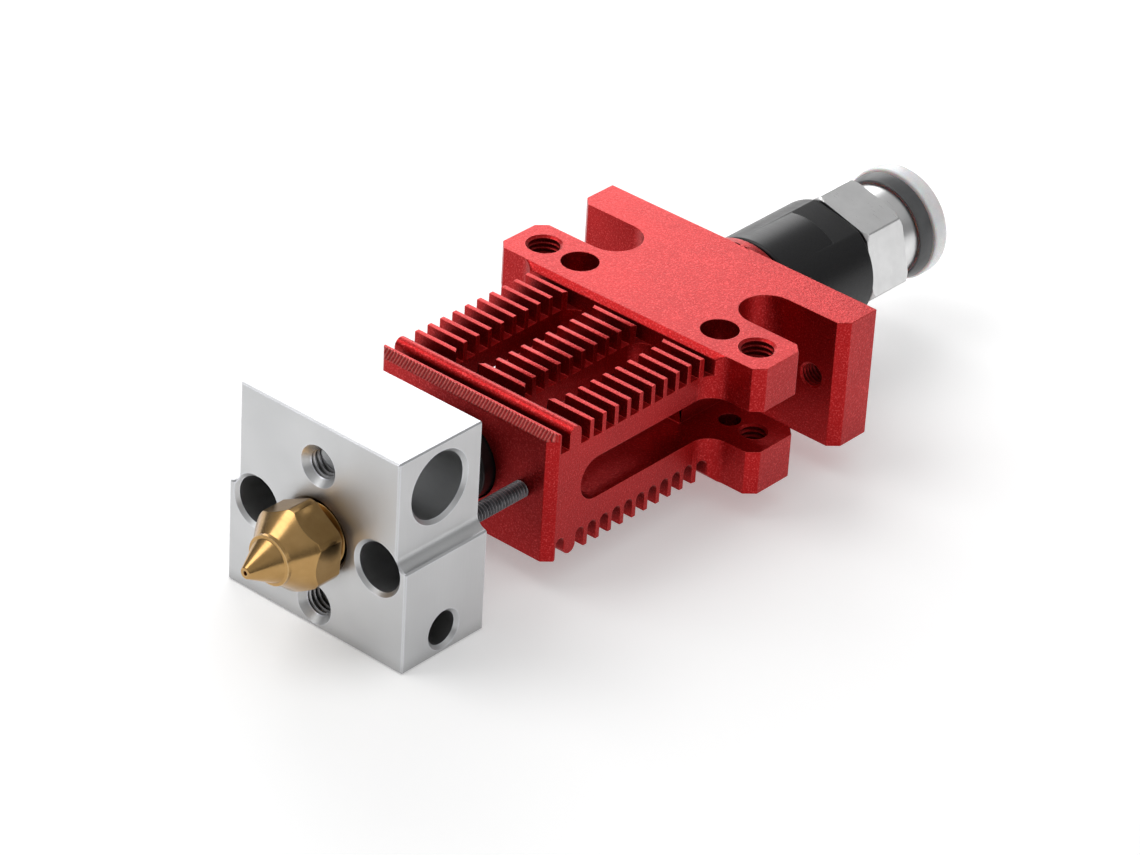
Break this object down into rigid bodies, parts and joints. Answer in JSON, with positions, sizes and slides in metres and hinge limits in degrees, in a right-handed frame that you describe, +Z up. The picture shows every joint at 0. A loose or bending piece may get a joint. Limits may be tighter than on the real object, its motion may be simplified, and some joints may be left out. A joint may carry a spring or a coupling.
{
  "type": "bowden hotend",
  "caption": "Compact filament hotend: heater block on standoff screws, finned heat sink with mounting ears and wings, tube adaptor and push-fit tube fitting.",
  "frame": {"origin": "centre of the bounding box's base, under the filament axis and level with the heater block's rest face", "axes": "+Y along the filament axis from the nozzle to the tube fitting, +X across the heat sink's width, +Z up out of the heat sink's broad face"},
  "size_m": [0.0304, 0.0856, 0.0197],
  "materials": {
    "red_anodised": "fine bead-blasted red anodising with bright cut edges",
    "satin_aluminium": "satin machined",
    "nozzle_brass": "bright turned",
    "throat_metal": "turned",
    "dark_steel": "blackened thread with worn crests",
    "black_anodised": "satin black anodising",
    "nickel_plate": "nickel plated",
    "seal_rubber": "matte",
    "grey_plastic": "moulded, matte",
    "white_plastic": "moulded, slightly milky"
  },
  "bodies": {
    "hotend": {"heat_sink": "red_anodised", "heater_block": "satin_aluminium", "nozzle": "nozzle_brass", "heat_break_throat": "throat_metal", "heat_break_sleeve": "black_anodised", "standoff_screw_left": "dark_steel", "standoff_screw_right": "dark_steel", "tube_adaptor": "black_anodised", "fitting_body": "nickel_plate", "tube_seal": "seal_rubber", "seal_spacer": "grey_plastic", "claw_ring": "nickel_plate", "claw_retainer": "nozzle_brass"},
    "release_button": {"release_ring": "white_plastic", "release_skirt": "grey_plastic"}
  },
  "joints": [
    {"name": "release_slide", "type": "slide", "parent": "hotend", "child": "release_button", "axis": [0, -1, 0], "range_m": [0, 0.001], "stiffness_N_per_m": 400}
  ]
}
